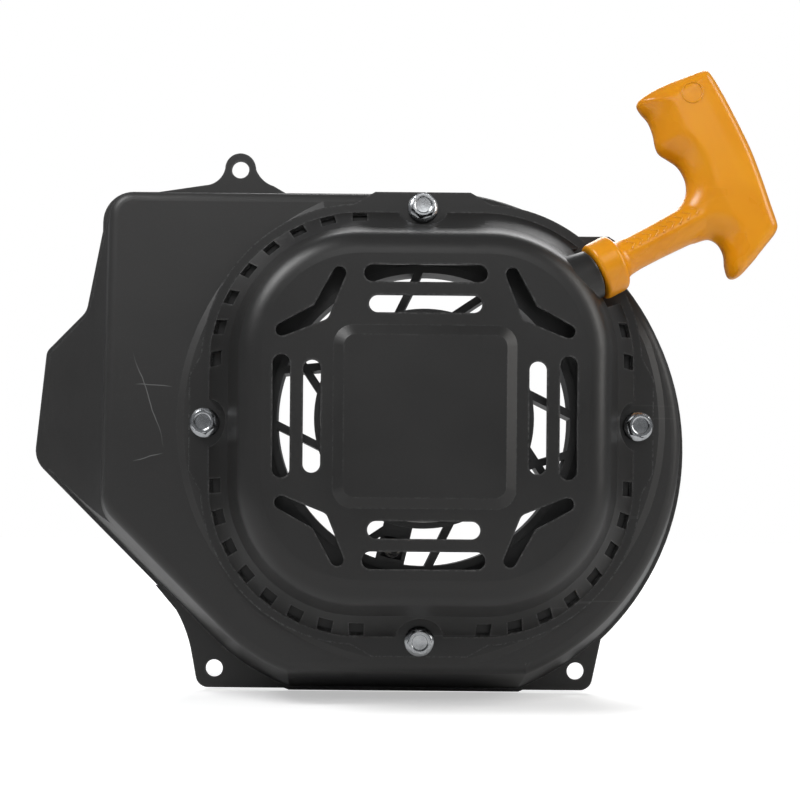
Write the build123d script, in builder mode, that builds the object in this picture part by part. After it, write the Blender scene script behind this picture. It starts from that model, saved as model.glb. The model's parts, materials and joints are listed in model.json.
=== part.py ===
from build123d import *
import os
from math import acos, atan2, cos, degrees, hypot, radians, sin, sqrt, tan

# Recoil starter for a small engine, in millimetres.
# Frame: X right, Z up, the cover faces -Y. The origin is midway between the two
# lower ear holes, on the back plane of the mounting ears. A depth is a distance in
# front of that plane. Sketches on a front plane are drawn about the reel's axis.

# ---- driving dimensions ----
SHEET = 1.5  # pressed steel thickness

# fan case
CASE_DEPTH = 52.8  # front face of the case
PAD_DEPTH = 54.0  # raised ring that the cover sits on
PAD_R = 116.5
PAD_MARGIN = 19.0  # pad edge inside the rim where the face is narrow
PAD_FOOT = 0.5  # the pad's foot lies this far below the face
PAD_SLOPE = 70.0
DRAFT = 16.0  # slope of the drawn walls, degrees
RIM_LIP = 1.5  # flat lip outside the walls
RIM_R = 135.0  # round part of the rim
RIM_CX, RIM_CZ = 3.8, -7.8
RIM_TOP, RIM_BOTTOM = 125.5, -133.0
CASE_LEFT = -165.0
LIP_CORNER_R = 16.0
WALL_CORNER_R = 27.0  # soft corners of the drawn walls
WALL_KNEE_R = 30.0
DUCT_FOOT_X = -191.5  # where the duct's flare meets the lip
FLARE_R = 66.0
FLARE_START, FLARE_END = 14.0, 74.0  # arc of the flare, degrees from the back plane
CASE_BORE_R = 90.0
CASE_EDGE_R = 5.5

# mounting ears
EAR_HOLE_R = 4.5
EAR_X_LEFT, EAR_X_RIGHT, EAR_Z_LOW = -104.0, 84.0, -122.0
EAR_TOP_X, EAR_TOP_Z = -92.5, 137.5

# reel axis, from the midpoint of the lower ear holes
REEL_X = -(EAR_X_LEFT + EAR_X_RIGHT) / 2
REEL_Z = -EAR_Z_LOW

# recoil cover
COVER_HALF = 103.5
COVER_CORNER_R = 75.0
TAB_REACH = 109.0
TAB_HALF = 22.3
RING_HALF = 100.6
RING_CORNER_R = 72.6
RING_SLOPE = 36.7
CREASE_DEPTH = 70.0
UPPER_SLOPE = 25.2
COVER_TOP = 89.0
COVER_EDGE_R = 13.0
PANEL_TOP = 91.5
PANEL_SIDE, PANEL_STEP = 71.0, 13.0  # raised square and how much wider its foot is
SLOT_W = 7.7
SLOT_IN_R, SLOT_IN_L = 49.45, 49.5  # inner pair: distance from the axis and length
SLOT_OUT_R, SLOT_OUT_L = 62.85, 54.0
ANGLED_SLOT_END_R, ANGLED_SLOT_ELBOW_R = 2.9, 4.1
BOLT_CIRCLE_R = 101.5
BOLT_POCKET_R = 11.5
VENT, VENT_LENGTH = 6.8, 10.8  # a vent across and along the slope
VENT_DEPTH = 60.5
VENT_STEP = 12.5  # degrees between vents
VENT_CORNER = 28.0
VENT_R = 67.8

# rope outlet and handle axis
PULL_ANGLE = 28.0  # above +X
OUTLET_X, OUTLET_Z, ROPE_DEPTH = 77.2, 67.5, 72.0
ROPE_R = 1.8
GUIDE_FLANGE_T = 1.2
OUTLET_BOSS_R = 15.7  # where the boss leaves the dome
OUTLET_BOSS_IN = 22.0  # how far back that is along the rope
OUTLET_BOSS_TAPER = 12.0
FACET_HALF = 16.0

# reel
POST_R = 12.0
POST_FLANGE_R, POST_FLANGE_T = 29.0, 2.0
CENTRE_TAP_R = 4.0  # tapped hole for the centre bolt
HUB_R = 48.8
HUB_WALL = 2.6
RIM_INNER_R = 65.6
GROOVE_R = 69.0
REEL_R = 82.5
COIL_R = 80.05  # rope centre line on the outer lap
COIL_STEP = 1.825  # change of radius per half turn
SPOKES = 12
SPOKE_W = 3.4
RIM_BACK, RIM_FLOOR, RIM_FRONT = 67.7, 76.5, 78.0  # depths of the rim's flange and inner wall
ROPE_SLOT_W = 4.2
KNOT_POCKET = 9.6

# pawls and the plate that swings them
PAWL_PIVOT_R = 30.0
PAWL_PIN_R = 3.0
PAWL_ARM = 24.0
PAWL_BACK, PAWL_FRONT = 60.3, 63.8
PAWL_LEAN = -98.0  # direction of the arm at rest, for the pawl on +X
PAWL_FOLLOWER = 14.0  # distance of the follower peg from the pivot
FOLLOWER_R = 2.0
CAM_SLOT_W = 4.3
PAWL_SWING = 30.0
PLATE_TURN = 25.0
PLATE_R = 43.0
PLATE_BACK, PLATE_T = 57.7, 2.0
PLATE_BUSH_R = 8.0

# fasteners
M6_R = 2.95
M6_CLEAR_R = 3.25
HEX_HALF = 5.0  # half the width across flats
BOLT_FLANGE_R, BOLT_FLANGE_T = 7.0, 1.0
BOLT_HEAD_H = 5.2
BOLT_LENGTH = 13.0
NUT_H = 5.0
NUT_SEAT_R = 6.0


def at(x, depth, z):
    """Point in the part's frame from one given about the reel's axis."""
    return (REEL_X + x, -depth, REEL_Z + z)


def front(depth):
    """Plane facing the front, with local x = X and local y = Z."""
    return Plane(origin=at(0, depth, 0), x_dir=(1, 0, 0), z_dir=(0, -1, 0))


def polar(radius, angle):
    return (radius * cos(radians(angle)), radius * sin(radians(angle)))


PULL = (cos(radians(PULL_ANGLE)), sin(radians(PULL_ANGLE)))


def outlet_point(along, across=0.0):
    """Point in the XZ plane, measured from the outlet along the pull direction."""
    x = OUTLET_X + along * PULL[0] - across * PULL[1]
    z = OUTLET_Z + along * PULL[1] + across * PULL[0]
    return (x, z)


def outlet_plane(along):
    """Plane across the rope's path outside the cover, normal along the pull."""
    x, z = outlet_point(along)
    return Plane(origin=at(x, ROPE_DEPTH, z), x_dir=(0, -1, 0), z_dir=(PULL[0], 0, PULL[1]))


# ---- fan case: outlines of the rim, shared by the lip, the walls and the hollow ----
rim_right_low = (RIM_CX + (RIM_R**2 - (RIM_BOTTOM - RIM_CZ) ** 2) ** 0.5, RIM_BOTTOM)
rim_right_top = (RIM_CX + (RIM_R**2 - (RIM_TOP - RIM_CZ) ** 2) ** 0.5, RIM_TOP)


def case_outline(corner_r, knee_r):
    """Outline of the case without the duct; the radii are for its left corners."""
    left_top = (CASE_LEFT + 1.5, RIM_TOP)
    left_low = (CASE_LEFT - 1.5, -46.5)
    with BuildSketch() as outline:
        with BuildLine():
            ThreePointArc(rim_right_low, (RIM_CX + RIM_R, RIM_CZ), rim_right_top)
            Polyline(rim_right_top, left_top, left_low, (-108, -105))
            ThreePointArc((-108, -105), (-86.5, -122.6), (-65, RIM_BOTTOM))
            Line((-65, RIM_BOTTOM), rim_right_low)
        make_face()
        fillet(outline.vertices().sort_by_distance(left_top)[0], corner_r)
        fillet(outline.vertices().sort_by_distance(left_low)[0], knee_r)
    return outline.sketch


main_rim = case_outline(LIP_CORNER_R, LIP_CORNER_R)
main_wall = case_outline(WALL_CORNER_R, WALL_KNEE_R)

with BuildSketch() as duct_rim:
    with BuildLine():
        Polyline((-60, 117), (-161.5, 117), (-172, 63), (-192.5, 42), (-198.5, -14.5))
        Polyline((-198.5, -14.5), (-110, -103), (-60, -103), (-60, 117))
    make_face()
    for place, radius in (((-172, 63), 10), ((-192.5, 42), 6), ((-198.5, -14.5), 14)):
        fillet(duct_rim.vertices().sort_by_distance(place)[0], radius)


def case_body(inset, depth):
    """Drafted body of the case without the duct, moved in by the sheet thickness."""
    with BuildPart() as body:
        with BuildSketch(front(0)):
            add(main_wall)
            offset(amount=-RIM_LIP - inset / cos(radians(DRAFT)), mode=Mode.REPLACE)
        extrude(amount=depth - inset, taper=DRAFT)
        fillet(body.faces().sort_by(Axis.Y)[0].edges(), CASE_EDGE_R - inset)
    return body.part


def flare_point(reach, angle):
    """Point of the duct's flare as (X, depth); the arc is concave on the outside."""
    centre_x = DUCT_FOOT_X - FLARE_R * sin(radians(FLARE_START))
    centre_d = SHEET + FLARE_R * cos(radians(FLARE_START))
    return (centre_x + reach * sin(radians(angle)), centre_d - reach * cos(radians(angle)))


def duct_body(inset):
    """Duct bulge on the left: a flared wall cut to the duct's outline."""
    reach = FLARE_R + inset
    foot = flare_point(reach, FLARE_START)
    mid = flare_point(reach, (FLARE_START + FLARE_END) / 2)
    top = flare_point(reach, FLARE_END)
    with BuildPart() as body:
        # Seen along Z: local x is X and local y is the depth.
        side = Plane(origin=at(0, 0, -120), x_dir=(1, 0, 0), z_dir=(0, 0, -1))
        with BuildSketch(side):
            with BuildLine():
                ThreePointArc(foot, mid, top)
                Polyline(top, (-100, top[1]), (-100, -inset), (foot[0], -inset), foot)
            make_face()
        extrude(amount=-260)
        with BuildSketch(front(0)):
            add(duct_rim.sketch)
            offset(amount=-RIM_LIP - inset / cos(radians(DRAFT)), mode=Mode.REPLACE)
        extrude(amount=CASE_DEPTH, taper=DRAFT, mode=Mode.INTERSECT)
    return body.part


case_outer = case_body(0, CASE_DEPTH)
case_inner = case_body(SHEET, CASE_DEPTH)
duct_outer = duct_body(0)
duct_inner = duct_body(SHEET)

LOW = RIM_BOTTOM + 1
# Three ears and the webs that tie them to the rim, and a lug behind the rope outlet.
with BuildSketch() as ears:
    with BuildLine():
        Polyline((-60, LOW), (-60, -90), (-135, -79), (-124, -92))
        ThreePointArc((-124, -92), (-118.5, -104), (-115.5, -116))
        Polyline((-115.5, -116), (-112.5, LOW), (-60, LOW))
    make_face()
    with BuildLine():
        Polyline((40, LOW), (40, -90), (102, -90), (98, -101), (91.5, LOW), (40, LOW))
    make_face()
    with BuildLine():
        Polyline((-60, 118), (-69, 125.5), (-75, 129))
        ThreePointArc((-75, 129), (-81, 132.5), (-84.5, 138))
        ThreePointArc((-84.5, 138), (-92.5, 146), (-100.5, 138))
        ThreePointArc((-100.5, 138), (-104, 132), (-111, 129.2))
        Polyline((-111, 129.2), (-135, RIM_TOP), (-135, 118), (-60, 118))
    make_face()
    with BuildLine():
        Polyline((78, 100), (83, 104.2), (99.5, 104.2), (104.3, 101.1), (107, 84), (95, 84), (78, 100))
    make_face()


with BuildPart() as fan_case:
    with BuildSketch(front(0)) as rim_plate:
        add(main_rim)
        add(duct_rim.sketch)
        add(ears.sketch)
        for place in ((-112.5, LOW), (91.5, LOW)):
            fillet(rim_plate.vertices().sort_by_distance(place)[0], 6.5)
    extrude(amount=SHEET)
    add(case_outer)
    add(duct_outer)
    with BuildSketch(front(CASE_DEPTH - PAD_FOOT)):
        add(main_wall)
        offset(amount=-PAD_MARGIN, mode=Mode.REPLACE)
        Circle(PAD_R, mode=Mode.INTERSECT)
    extrude(amount=PAD_DEPTH - CASE_DEPTH + PAD_FOOT, taper=PAD_SLOPE)
    add(case_inner, mode=Mode.SUBTRACT)
    add(duct_inner, mode=Mode.SUBTRACT)
    with BuildSketch(front(0)):
        Circle(CASE_BORE_R)
        with PolarLocations(BOLT_CIRCLE_R, 4):
            Circle(M6_CLEAR_R)
        with Locations((EAR_X_LEFT, EAR_Z_LOW), (EAR_X_RIGHT, EAR_Z_LOW), (EAR_TOP_X, EAR_TOP_Z)):
            Circle(EAR_HOLE_R)
    extrude(amount=PAD_DEPTH + 1, mode=Mode.SUBTRACT)
    # Seats for the weld nuts where the inner corner radius comes close.
    with BuildSketch(front(CASE_DEPTH - SHEET)):
        with PolarLocations(BOLT_CIRCLE_R, 4):
            Circle(NUT_SEAT_R)
    extrude(amount=-(NUT_H + 1), mode=Mode.SUBTRACT)
fan_case.part.label = "fan_case"


# ---- recoil cover ----
def cover_body(inset):
    """Stepped dome of the cover, moved in by the sheet thickness."""
    ring = RING_HALF - inset / cos(radians(RING_SLOPE))
    crease = CREASE_DEPTH - 0.2 * inset
    drop = (crease - PAD_DEPTH) * tan(radians(RING_SLOPE))
    with BuildPart() as body:
        with BuildSketch(front(PAD_DEPTH)):
            RectangleRounded(2 * ring, 2 * ring, RING_CORNER_R - inset)
        extrude(amount=crease - PAD_DEPTH, taper=RING_SLOPE)
        with BuildSketch(front(crease)):
            half = ring - drop
            RectangleRounded(2 * half, 2 * half, RING_CORNER_R - inset - drop)
        extrude(amount=COVER_TOP - inset - crease, taper=UPPER_SLOPE)
        fillet(body.faces().sort_by(Axis.Y)[0].edges(), COVER_EDGE_R - inset)
        with BuildSketch(front(COVER_TOP - inset - 1)):
            RectangleRounded(PANEL_SIDE + PANEL_STEP - inset, PANEL_SIDE + PANEL_STEP - inset, 10)
        with BuildSketch(front(PANEL_TOP - inset)):
            RectangleRounded(PANEL_SIDE - inset, PANEL_SIDE - inset, 5)
        loft()
        with BuildSketch(outlet_plane(-OUTLET_BOSS_IN)):
            Circle(OUTLET_BOSS_R - inset)
        extrude(amount=OUTLET_BOSS_IN - GUIDE_FLANGE_T - inset, taper=OUTLET_BOSS_TAPER)
        # Flat facet below the outlet, so the handle's collar can come up to it.
        with BuildSketch(outlet_plane(-GUIDE_FLANGE_T - inset)):
            with Locations((-4.0, 0)):
                Rectangle(28.2, 2 * FACET_HALF + 2 * inset)
        extrude(amount=30, mode=Mode.SUBTRACT)
        with BuildSketch(front(PAD_DEPTH)):
            with PolarLocations(BOLT_CIRCLE_R, 4):
                Circle(BOLT_POCKET_R + inset)
        extrude(amount=30, mode=Mode.SUBTRACT)
    return body.part


cover_outer = cover_body(0)
cover_inner = cover_body(SHEET)


# Pairs of straight slots on the sides and an angled slot in each corner, wide at its elbow.
ELBOW = (45.8, 45.8)
with BuildSketch() as slot_arm:
    with Locations((37.8, 62.6)):
        Circle(ANGLED_SLOT_END_R)
    with Locations(ELBOW):
        Circle(ANGLED_SLOT_ELBOW_R)
    make_hull()

with BuildSketch() as angled_slot:
    add(slot_arm.sketch)
    add(mirror(slot_arm.sketch, about=Plane(origin=(0, 0, 0), x_dir=(1, 1, 0), z_dir=(1, -1, 0))))

with BuildSketch() as cover_slots:
    with PolarLocations(SLOT_IN_R, 4):
        SlotOverall(SLOT_IN_L, SLOT_W, rotation=90)
    with PolarLocations(SLOT_OUT_R, 4):
        SlotOverall(SLOT_OUT_L, SLOT_W, rotation=90)
    with PolarLocations(0, 4):
        add(angled_slot.sketch)


# Punches for the square vents, square to the slope: eight to a corner, two at the rope outlet's.
with BuildPart() as vents:
    for quarter in range(4):
        for i in range(8):
            if quarter == 0 and i > 1:
                continue
            cx, cz = polar(VENT_CORNER * sqrt(2), 45 + 90 * quarter)
            nx, nz = polar(1, 90 * quarter + 1.25 + VENT_STEP * i)
            lean, rise = polar(1, RING_SLOPE)
            spot = Plane(
                origin=at(cx + VENT_R * nx, VENT_DEPTH, cz + VENT_R * nz),
                x_dir=(-nx * rise, -lean, -nz * rise),
                z_dir=(nx * lean, -rise, nz * lean),
            )
            with BuildSketch(spot):
                Rectangle(VENT_LENGTH, VENT)
    extrude(amount=8, both=True)


with BuildPart() as recoil_cover:
    with BuildSketch(front(PAD_DEPTH)):
        RectangleRounded(2 * COVER_HALF, 2 * COVER_HALF, COVER_CORNER_R)
        with PolarLocations(0, 4):
            Polygon((90, -33), (103, -33), (TAB_REACH, -TAB_HALF), (TAB_REACH, TAB_HALF), (103, 33),
                    (90, 33), align=None)
    extrude(amount=SHEET)
    add(cover_outer)
    add(cover_inner, mode=Mode.SUBTRACT)
    with BuildSketch(front(PAD_DEPTH)):
        with PolarLocations(BOLT_CIRCLE_R, 4):
            Circle(M6_CLEAR_R)
    extrude(amount=SHEET + 1, mode=Mode.SUBTRACT)
    with BuildSketch(front(COVER_TOP - 6)):
        add(cover_slots.sketch)
    extrude(amount=12, mode=Mode.SUBTRACT)
    add(vents.part, mode=Mode.SUBTRACT)
    with BuildSketch(outlet_plane(-12)):
        Circle(6.05)
    extrude(amount=20, mode=Mode.SUBTRACT)
recoil_cover.part.label = "recoil_cover"


# ---- cover bolts and the weld nuts behind the case ----
BOLT_SEAT = PAD_DEPTH + SHEET
with BuildPart() as cover_bolts:
    with BuildSketch(front(BOLT_SEAT)):
        with PolarLocations(BOLT_CIRCLE_R, 4):
            Circle(BOLT_FLANGE_R)
    extrude(amount=BOLT_FLANGE_T)
    with BuildSketch(front(BOLT_SEAT + BOLT_FLANGE_T)):
        with PolarLocations(BOLT_CIRCLE_R, 4):
            Circle(BOLT_FLANGE_R - 0.4)
    extrude(amount=1.2, taper=35)
    with BuildSketch(front(BOLT_SEAT + BOLT_FLANGE_T)):
        with PolarLocations(BOLT_CIRCLE_R, 4):
            RegularPolygon(HEX_HALF, 6, major_radius=False)
    extrude(amount=BOLT_HEAD_H)
    # Dish in the top of each head.
    with BuildSketch(front(BOLT_SEAT + BOLT_FLANGE_T + BOLT_HEAD_H)):
        with PolarLocations(BOLT_CIRCLE_R, 4):
            Circle(3.2)
    extrude(amount=-0.8, mode=Mode.SUBTRACT)
    with BuildSketch(front(BOLT_SEAT)):
        with PolarLocations(BOLT_CIRCLE_R, 4):
            Circle(M6_R)
    extrude(amount=-BOLT_LENGTH)
cover_bolts.part.label = "cover_bolts"

with BuildPart() as weld_nuts:
    with BuildSketch(front(CASE_DEPTH - SHEET)):
        with PolarLocations(BOLT_CIRCLE_R, 4):
            RegularPolygon(HEX_HALF, 6, major_radius=False, rotation=30)
            Circle(M6_R + 0.05, mode=Mode.SUBTRACT)
    extrude(amount=-NUT_H)
weld_nuts.part.label = "weld_nuts"

# ---- reel post, welded inside the cover's raised panel ----
POST_TOP = PANEL_TOP - SHEET
POST_END = 61.0
with BuildPart() as reel_post:
    with BuildSketch(front(POST_TOP)):
        Circle(POST_FLANGE_R)
    extrude(amount=-POST_FLANGE_T)
    with BuildSketch(front(POST_TOP - 1)):
        Circle(POST_R)
    extrude(amount=-(POST_TOP - 1 - POST_END))
    with BuildSketch(front(POST_END)):
        Circle(CENTRE_TAP_R)
    extrude(amount=17, mode=Mode.SUBTRACT)
    # Slit that holds the spring's inner end.
    with BuildSketch(front(68.5)):
        with Locations((POST_R - 2, 0)):
            Rectangle(4.2, 1.4)
    extrude(amount=12, mode=Mode.SUBTRACT)
reel_post.part.label = "reel_post"

# ---- reel ----
REEL_BACK = 61.2
FLOOR_BACK, FLOOR_FRONT = 64.0, 68.0
HUB_FRONT = 82.0
SPOKE_BACK = 68.5
PAWL_SPRING_IN, PAWL_SPRING_OUT = 4.2, 6.6  # ring pocket of a pawl's spring
BUSH_R = 14.0
LEAD_CORNER = outlet_point(-10)
LEAD_REACH = hypot(*LEAD_CORNER)
LEAD_ANGLE = degrees(atan2(LEAD_CORNER[1], LEAD_CORNER[0]) + acos(COIL_R / LEAD_REACH))
KNOT_ANGLE = LEAD_ANGLE + 184
KNOT_R = 59.5

with BuildSketch() as spoke_lines:
    with BuildLine():
        for k in range(SPOKES):
            Line(polar(HUB_R - 1, 15 + 30 * k), polar(RIM_INNER_R + 1, 2 + 30 * k))
        Line(polar(HUB_R - 1, 150), polar(RIM_INNER_R + 1, 161))
        Line(polar(HUB_R - 1, 333), polar(RIM_INNER_R + 1, 347))
    trace(line_width=SPOKE_W)

with BuildPart() as reel:
    with BuildSketch(front(RIM_BACK)):
        Circle(REEL_R)
        Circle(RIM_INNER_R, mode=Mode.SUBTRACT)
    extrude(amount=RIM_FLOOR - RIM_BACK)
    with BuildSketch(front(RIM_FLOOR)):
        Circle(GROOVE_R)
        Circle(RIM_INNER_R, mode=Mode.SUBTRACT)
    extrude(amount=RIM_FRONT - RIM_FLOOR)
    with BuildSketch(front(ROPE_DEPTH - ROPE_SLOT_W / 2)):
        Circle(REEL_R + 1)
        Circle(GROOVE_R, mode=Mode.SUBTRACT)
    extrude(amount=ROPE_SLOT_W, mode=Mode.SUBTRACT)
    with BuildSketch(front(SPOKE_BACK)):
        add(spoke_lines.sketch)
        with Locations(Location((0, 0, 0), (0, 0, 1), KNOT_ANGLE)):
            with Locations(((HUB_R + RIM_INNER_R) / 2, 0)):
                Rectangle(RIM_INNER_R - HUB_R + 2, 13)
        Circle(RIM_INNER_R + 0.5, mode=Mode.INTERSECT)
        Circle(HUB_R - 1, mode=Mode.SUBTRACT)
    extrude(amount=RIM_FRONT - SPOKE_BACK)
    with BuildSketch(front(FLOOR_BACK)):
        Circle(HUB_R)
    extrude(amount=HUB_FRONT - FLOOR_BACK)
    with BuildSketch(front(FLOOR_FRONT)):
        Circle(HUB_R - HUB_WALL)
    extrude(amount=20, mode=Mode.SUBTRACT)
    with BuildSketch(front(REEL_BACK)):
        Circle(18)
    extrude(amount=5)
    with BuildSketch(front(REEL_BACK)):
        Circle(BUSH_R)
    extrude(amount=10, mode=Mode.SUBTRACT)
    # Pawl pin holes and the round pockets of their springs.
    with BuildSketch(front(FLOOR_BACK)):
        with PolarLocations(PAWL_PIVOT_R, 2):
            Circle(PAWL_PIN_R)
    extrude(amount=3.6, mode=Mode.SUBTRACT)
    with BuildSketch(front(FLOOR_BACK)):
        with PolarLocations(PAWL_PIVOT_R, 2):
            Circle(PAWL_SPRING_OUT)
            Circle(PAWL_SPRING_IN, mode=Mode.SUBTRACT)
    extrude(amount=2.7, mode=Mode.SUBTRACT)
    # Pocket for the knot, open to the front, and the rope's hole to the groove.
    with BuildSketch(front(ROPE_DEPTH - 1)):
        with Locations(Location((0, 0, 0), (0, 0, 1), KNOT_ANGLE)):
            with Locations((KNOT_R - 0.6, 0)):
                Rectangle(KNOT_POCKET, KNOT_POCKET)
    extrude(amount=7.5, mode=Mode.SUBTRACT)
    kx, kz = polar(1, KNOT_ANGLE)
    across_rim = Plane(
        origin=at(60 * kx, ROPE_DEPTH + 1.5, 60 * kz), x_dir=(0, -1, 0), z_dir=(kx, 0, kz)
    )
    with BuildSketch(across_rim):
        Circle(2.3)
    extrude(amount=11, mode=Mode.SUBTRACT)
    # Notch that takes the spring's outer end.
    with BuildSketch(front(FLOOR_FRONT)):
        with Locations((-(HUB_R - 3.5), 0)):
            Rectangle(4, 2.2)
    extrude(amount=12, mode=Mode.SUBTRACT)
reel.part.label = "reel"

with BuildPart() as reel_bush:
    with BuildSketch(front(REEL_BACK)):
        Circle(BUSH_R - 0.02)
        Circle(POST_R + 0.05, mode=Mode.SUBTRACT)
    extrude(amount=FLOOR_FRONT - REEL_BACK)
reel_bush.part.label = "reel_bush"

with BuildPart() as spring_retainer:
    with BuildSketch(front(80.4)):
        Circle(HUB_R - HUB_WALL - 0.05)
        Circle(POST_R + 2.5, mode=Mode.SUBTRACT)
        with PolarLocations(30, 3):
            Circle(5, mode=Mode.SUBTRACT)
    extrude(amount=1)
spring_retainer.part.label = "spring_retainer"

# ---- recoil spring: flat strip wound in half turns ----
SPRING_T = 0.8
SPRING_TURNS = 11
SPRING_R0 = POST_R + 1.2
SPRING_STEP = (HUB_R - 4.0 - SPRING_R0) / (2 * SPRING_TURNS)

with BuildPart() as recoil_spring:
    with BuildSketch(front(68.8)):
        with BuildLine():
            Line((POST_R - 2.5, 0), (SPRING_R0, 0))
            for k in range(2 * SPRING_TURNS):
                radius = SPRING_R0 + k * SPRING_STEP
                shift = SPRING_STEP if k % 2 else 0
                CenterArc((shift, 0), radius, 180 * (k % 2), 180)
        trace(line_width=SPRING_T)
    extrude(amount=11)
recoil_spring.part.label = "recoil_spring"

# ---- rope on the reel, its knot, and the run through the guide into the handle ----
lead_x, lead_z = polar(1, LEAD_ANGLE)
coil_frame = Plane(origin=at(0, ROPE_DEPTH, 0), x_dir=(lead_x, 0, lead_z), z_dir=(0, -1, 0))
with BuildPart() as rope_coil:
    with BuildLine(coil_frame) as coil_path:
        for k in range(5):
            shift = -COIL_STEP if k % 2 else 0
            CenterArc((shift, 0), COIL_R - k * COIL_STEP, 180 * (k % 2), 180)
    with BuildSketch(Plane(origin=coil_path.wires()[0] @ 0, z_dir=coil_path.wires()[0] % 0)):
        Circle(ROPE_R)
    sweep()
rope_coil.part.label = "rope_coil"

with BuildPart() as reel_knot:
    knot_x, knot_z = polar(KNOT_R, KNOT_ANGLE)
    with Locations(at(knot_x, 75.0, knot_z)):
        Sphere(3.9)
    across_knot = Plane(origin=at(knot_x, 73.5, knot_z), x_dir=(0, -1, 0), z_dir=(kx, 0, kz))
    with BuildSketch(across_knot):
        Circle(ROPE_R)
    extrude(amount=68.7 - KNOT_R)
reel_knot.part.label = "reel_knot"

HANDLE_BORE_END = 62.0
with BuildPart() as starter_rope:
    start_x, start_z = polar(COIL_R, LEAD_ANGLE)
    with BuildLine(front(ROPE_DEPTH)) as rope_path:
        FilletPolyline(
            (start_x + 0.3 * lead_z, start_z - 0.3 * lead_x),
            LEAD_CORNER,
            outlet_point(HANDLE_BORE_END + 1.2),
            radius=12,
        )
    with BuildSketch(Plane(origin=rope_path.wires()[0] @ 0, z_dir=rope_path.wires()[0] % 0)):
        Circle(ROPE_R)
    sweep()
starter_rope.part.label = "starter_rope"

# ---- rope guide: flanged eyelet in the cover's outlet ----
OUTLET = at(OUTLET_X, ROPE_DEPTH, OUTLET_Z)
pull_frame = Plane(origin=OUTLET, x_dir=(PULL[0], 0, PULL[1]), z_dir=(0, -1, 0))
PULL_AXIS = Axis(OUTLET, (PULL[0], 0, PULL[1]))
with BuildPart() as rope_guide:
    with BuildSketch(pull_frame):
        with BuildLine():
            Polyline((-0.6, 3.0), (0, 3.6), (0, 9.4), (-0.5, 10), (-1.2, 10), (-1.2, 6))
            Polyline((-1.2, 6), (-2.75, 6), (-2.75, 7.6), (-3.6, 8), (-5.6, 7.2), (-6.2, 5.4))
            ThreePointArc((-6.2, 5.4), (-4.6, 3.6), (-2.6, 3.0))
            Line((-2.6, 3.0), (-0.6, 3.0))
        make_face()
    revolve(axis=PULL_AXIS)
rope_guide.part.label = "rope_guide"

# ---- handle: T grip with a stem, a collar and a pocket for the rope's end ----
COLLAR_R, COLLAR_T = 13.15, 11.2
COLLAR_EDGE_R = 2.0
STEM_R, STEM_LENGTH = 8.3, 57.0
GRIP_HALF_T = 11.0
GRIP_EDGE_R = 5.0
GRIP_CORNER_R = 3.2
HANDLE_BORE_R = 2.6
HANDLE_GAP = 0.05
POCKET_AHEAD, POCKET_DROP = 7.0, 14.0  # pocket centre past the bore, and its depth behind the rope
with BuildPart() as handle_grip:
    with BuildSketch(pull_frame) as grip_outline:
        with BuildLine():
            ThreePointArc((82.0, -20.0), (87.4, 18), (88.0, 57.6))
            Polyline((88.0, 57.6), (52.6, 60.4), (51.4, 37.0), (56.8, 22.0), (49.5, 8.9), (36, 7.9))
            Polyline((36, 7.9), (36, -7.6), (51.5, -9.2), (57.0, -18.0), (54.0, -31.8), (82.0, -20.0))
        make_face()
        fillet(grip_outline.vertices(), GRIP_CORNER_R)
    extrude(amount=GRIP_HALF_T, both=True)
    grip_faces = handle_grip.faces().filter_by(Axis.Y)
    fillet(grip_faces.edges(), GRIP_EDGE_R)
    with BuildSketch(outlet_plane(HANDLE_GAP)):
        Circle(STEM_R)
    extrude(amount=STEM_LENGTH)
    with BuildSketch(outlet_plane(HANDLE_GAP)):
        Circle(COLLAR_R)
    extrude(amount=COLLAR_T)
    rims = handle_grip.edges().filter_by(GeomType.CIRCLE).filter_by(lambda e: abs(e.radius - COLLAR_R) < 0.01)
    fillet(rims, COLLAR_EDGE_R)
    with BuildSketch(outlet_plane(-1)):
        Circle(HANDLE_BORE_R)
    extrude(amount=HANDLE_BORE_END + 3, mode=Mode.SUBTRACT)
    pocket_x, pocket_z = outlet_point(HANDLE_BORE_END + POCKET_AHEAD)
    pocket_back = Plane(
        origin=at(pocket_x, ROPE_DEPTH - POCKET_DROP, pocket_z),
        x_dir=(PULL[0], 0, PULL[1]),
        z_dir=(0, -1, 0),
    )
    with BuildSketch(pocket_back):
        RectangleRounded(14, 15, 1.0)
    extrude(amount=20.5, mode=Mode.SUBTRACT)
handle_grip.part.label = "handle_grip"

with BuildPart() as handle_washer:
    with BuildSketch(outlet_plane(HANDLE_BORE_END + 0.05)):
        Circle(5.6)
        Circle(1.85, mode=Mode.SUBTRACT)
    extrude(amount=1.2)
handle_washer.part.label = "handle_washer"

with BuildPart() as handle_knot:
    knot_hx, knot_hz = outlet_point(HANDLE_BORE_END + 6.3)
    with Locations(at(knot_hx, ROPE_DEPTH, knot_hz)):
        Sphere(4.9)
handle_knot.part.label = "handle_knot"

# ---- pawls on the back of the reel ----

def pawl_solid(turn):
    """One pawl; turn places its pivot round the reel."""
    px, pz = polar(PAWL_PIVOT_R, turn)
    frame = Plane(
        origin=at(px, PAWL_BACK, pz),
        x_dir=(cos(radians(turn + PAWL_LEAN)), 0, sin(radians(turn + PAWL_LEAN))),
        z_dir=(0, -1, 0),
    )
    with BuildPart() as pawl:
        with BuildSketch(frame):
            Circle(6.3)
            Polygon((0, -5.2), (PAWL_ARM - 4, -4.4), (PAWL_ARM, -1.0), (PAWL_ARM, 3.2), (9, 4.6),
                    (0, 6.2), align=None)
            Circle(PAWL_PIN_R + 0.06, mode=Mode.SUBTRACT)
        extrude(amount=PAWL_FRONT - PAWL_BACK)
        with BuildSketch(frame):
            with Locations((PAWL_FOLLOWER, 0)):
                Circle(FOLLOWER_R)
        extrude(amount=-2.9)
    return pawl.part


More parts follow.
